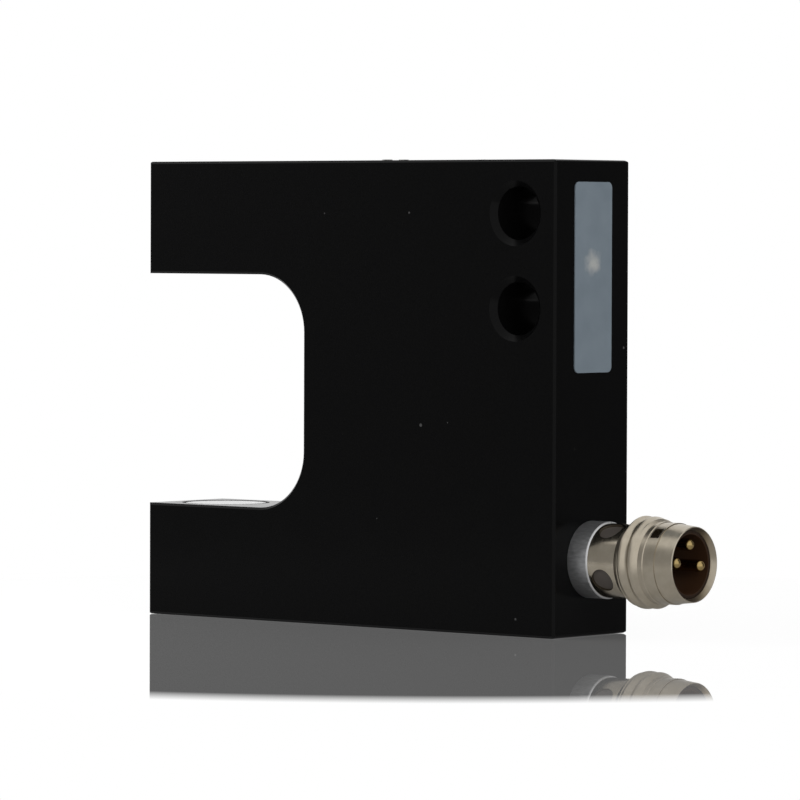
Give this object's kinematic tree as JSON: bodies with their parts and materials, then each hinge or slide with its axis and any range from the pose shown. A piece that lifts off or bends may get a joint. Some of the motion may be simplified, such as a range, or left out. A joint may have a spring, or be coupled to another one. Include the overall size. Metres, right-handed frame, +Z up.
{
  "type": "fork light barrier sensor",
  "caption": "Fork-shaped photoelectric sensor: black C-shaped block with a beam across its gap, countersunk mounting holes, sensitivity adjuster and threaded round plug.",
  "frame": {"origin": "under the middle of the overall length and thickness, on the base it stands on", "axes": "+X from the fork's opening towards the plug, +Y towards the covered back face, +Z up"},
  "size_m": [0.0566, 0.01, 0.0401],
  "materials": {
    "anodised": "black anodised, fine satin",
    "lens": "clear, polished",
    "black_plastic": "moulded, matt",
    "smoked_plastic": "smoked, polished",
    "board": "lacquered glass-fibre board",
    "amber_plastic": "moulded, amber",
    "steel": "turned, satin",
    "seal": "moulded, matt",
    "indicator": "clear, slightly yellow",
    "ring": "turned, brushed",
    "nickel": "nickel plated, satin",
    "carrier": "moulded, dark brown-black",
    "gold": "gold plated, polished",
    "wire_brown": "insulated wire",
    "wire_black": "insulated wire",
    "wire_blue": "insulated wire",
    "label": "adhesive film, satin, bare"
  },
  "bodies": {
    "sensor": {"housing": "anodised", "rear_cover": "anodised", "emitter_window": "lens", "receiver_window": "lens", "emitter_holder": "black_plastic", "receiver_holder": "black_plastic", "emitter_led": "smoked_plastic", "receiver_diode": "smoked_plastic", "circuit_board": "board", "control_chip": "black_plastic", "output_transistor": "black_plastic", "protection_diode": "black_plastic", "filter_capacitor": "amber_plastic", "chip_resistors": "black_plastic", "trimmer_body": "black_plastic", "adjuster_seal": "seal", "indicator_led": "amber_plastic", "indicator_lens": "indicator", "connector_ring": "ring", "connector_seal": "seal", "connector_shell": "nickel", "contact_carrier": "carrier", "contact_pin_supply": "gold", "contact_pin_output": "gold", "contact_pin_ground": "gold", "lead_supply": "wire_brown", "lead_output": "wire_black", "lead_ground": "wire_blue", "label": "label"},
    "adjuster_spindle": {"adjuster": "steel"}
  },
  "joints": [
    {"name": "sensitivity_turn", "type": "hinge", "parent": "sensor", "child": "adjuster_spindle", "pos_m": [-0.00413, 0, 0.04], "axis": [0, 0, 1], "range_deg": [-135, 135]}
  ]
}
